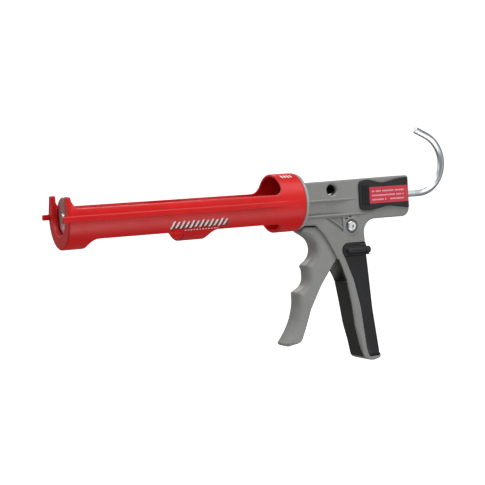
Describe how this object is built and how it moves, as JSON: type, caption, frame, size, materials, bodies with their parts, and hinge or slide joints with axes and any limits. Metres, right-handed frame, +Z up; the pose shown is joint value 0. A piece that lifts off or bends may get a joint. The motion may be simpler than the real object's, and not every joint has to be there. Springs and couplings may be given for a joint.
{
  "type": "caulking gun",
  "caption": "Cradle caulking gun: swivelling open cartridge cradle, hexagonal plunger rod with ladder hook, pull trigger, release lever, spout cutter and slide-out finishing tool.",
  "frame": {"origin": "on the barrel axis at the rear face of the cradle, where it turns against the collar", "axes": "+X along the barrel from the nose to the ladder hook, +Z up, -Y the user's left"},
  "size_m": [0.4212, 0.0598, 0.2286],
  "materials": {
    "red_nylon": "smooth moulded nylon, satin",
    "white_print": "pad-printed ink",
    "grey_nylon": "fine moulded grain",
    "black_grip": "soft-touch rubber",
    "black_plastic": "fine moulded grain",
    "label_film": "printed film",
    "zinc_steel": "bright zinc plate",
    "spring_steel": "oiled spring wire",
    "bearing_plastic": "plain moulded acetal"
  },
  "bodies": {
    "body": {"housing_left": "grey_nylon", "housing_right": "grey_nylon", "housing_screws": "zinc_steel", "swivel_collar": "grey_nylon", "collar_retainer": "bearing_plastic", "retainer_screws": "zinc_steel", "front_bush": "zinc_steel", "rear_bush": "bearing_plastic", "pivot_bolt": "zinc_steel", "pivot_nut": "zinc_steel", "catch_pin": "zinc_steel", "front_grip": "black_grip", "rear_grip": "black_grip", "grip_band": "black_grip", "thumb_pad": "black_plastic", "drive_spring": "spring_steel", "catch_spring": "spring_steel"},
    "cradle_body": {"cradle": "red_nylon", "cradle_marks": "white_print"},
    "rod_body": {"plunger_rod": "zinc_steel", "piston_plate": "zinc_steel", "piston_cone": "zinc_steel", "piston_nut": "zinc_steel", "piston_screw": "zinc_steel"},
    "trigger_body": {"trigger": "grey_nylon", "trigger_bush": "bearing_plastic", "drive_roller": "zinc_steel", "spout_blade": "zinc_steel", "blade_rivets": "zinc_steel"},
    "drive_body": {"drive_plate_front": "zinc_steel", "drive_plate_rear": "zinc_steel"},
    "release_body": {"release_lever": "zinc_steel"},
    "tool_body": {"finishing_tool": "black_plastic", "tool_label": "label_film"},
    "punch_body": {"punch_pin": "zinc_steel", "punch_knob": "black_grip"}
  },
  "joints": [
    {"name": "cradle_spin", "type": "hinge", "parent": "body", "child": "cradle_body", "pos_m": [0, 0, 0], "axis": [1, 0, 0], "continuous": true},
    {"name": "rod_slide", "type": "slide", "parent": "body", "child": "rod_body", "axis": [1, 0, 0], "range_m": [0, 0.2125]},
    {"name": "trigger_pull", "type": "hinge", "parent": "body", "child": "trigger_body", "pos_m": [0.0566, 0, -0.0271], "axis": [0, -1, 0], "range_deg": [0, 20], "stiffness_Nm_per_rad": 0.6, "springref_deg": -17.19},
    {"name": "drive_stroke", "type": "slide", "parent": "body", "child": "drive_body", "axis": [-1, 0, 0], "range_m": [0, 0.0032], "deforming": ["drive_spring"]},
    {"name": "release_tilt", "type": "hinge", "parent": "body", "child": "release_body", "pos_m": [0.1166, 0, 0.01], "axis": [0, 1, 0], "range_deg": [0, 6], "stiffness_Nm_per_rad": 0.3, "springref_deg": -5.73, "deforming": ["catch_spring"]},
    {"name": "tool_slide", "type": "slide", "parent": "body", "child": "tool_body", "axis": [1, 0, 0], "range_m": [0, 0.06]},
    {"name": "punch_slide", "type": "slide", "parent": "body", "child": "punch_body", "axis": [1, 0, 0], "range_m": [0, 0.026]}
  ],
  "couplings": [
    {"joint": "drive_stroke", "follows": "trigger_pull", "m_per_rad": 0.008793}
  ]
}
